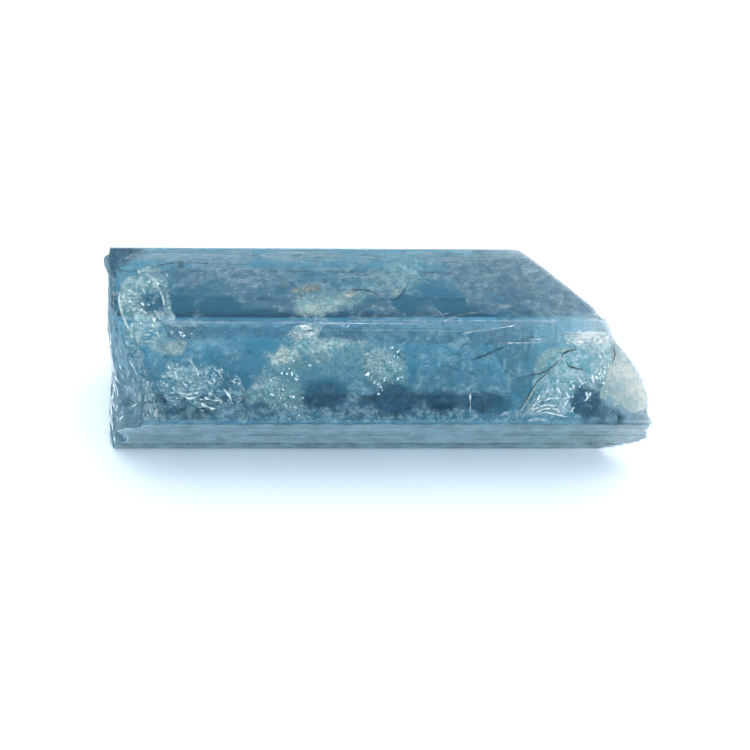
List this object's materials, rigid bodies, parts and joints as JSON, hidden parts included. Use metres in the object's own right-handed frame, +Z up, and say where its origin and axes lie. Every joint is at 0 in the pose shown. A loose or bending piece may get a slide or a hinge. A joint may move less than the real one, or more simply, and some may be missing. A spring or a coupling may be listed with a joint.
{
  "type": "aquamarine crystal",
  "caption": "Loose natural aquamarine crystal: a pale blue, clear hexagonal beryl prism with one rough broken end and one oblique end, lying on a prism face.",
  "frame": {"origin": "on the resting surface, below the middle of the crystal's bounding box", "axes": "+X along the prism from the broken end to the oblique end, +Y to the back, +Z up from the prism face it rests on"},
  "size_m": [0.04, 0.0152, 0.0133],
  "materials": {
    "aquamarine": "clear pale blue beryl, glassy prism faces with fine lengthwise striations, frosted broken ends"
  },
  "bodies": {
    "root": {"crystal": "aquamarine"}
  },
  "joints": []
}
